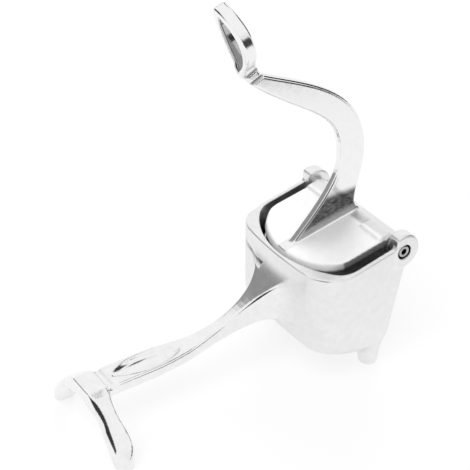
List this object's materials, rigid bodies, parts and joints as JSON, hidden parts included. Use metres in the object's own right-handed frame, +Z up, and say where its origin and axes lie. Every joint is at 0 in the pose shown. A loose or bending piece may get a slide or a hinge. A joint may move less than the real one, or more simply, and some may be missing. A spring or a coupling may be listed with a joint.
{
  "type": "lemon squeezer",
  "caption": "Cast lever press for citrus halves: a D-shaped cup on legs with a handle arm, a slotted strainer inside and a hinged press plate on a bent lever with a loop end.",
  "frame": {"origin": "on the ground, under the middle of the bounding box", "axes": "+Z up, +X from the front foot to the hinge, +Y across, to the side away from the camera"},
  "size_m": [0.192, 0.09, 0.2339],
  "materials": {
    "cast_aluminium": "satin, polished arm",
    "polished_aluminium": "polished",
    "strainer_aluminium": "satin",
    "steel": "turned",
    "screw_steel": "plated"
  },
  "bodies": {
    "base": {"body": "cast_aluminium", "strainer": "strainer_aluminium", "pivot_rod": "steel", "pivot_screw_near": "screw_steel", "pivot_screw_far": "screw_steel", "pivot_spacer_near": "steel", "pivot_spacer_far": "steel"},
    "lever": {"press_lever": "polished_aluminium"}
  },
  "joints": [
    {"name": "press_hinge", "type": "hinge", "parent": "base", "child": "lever", "pos_m": [0.0855, 0, 0.078], "axis": [0, 1, 0], "range_deg": [-58, 85]}
  ]
}
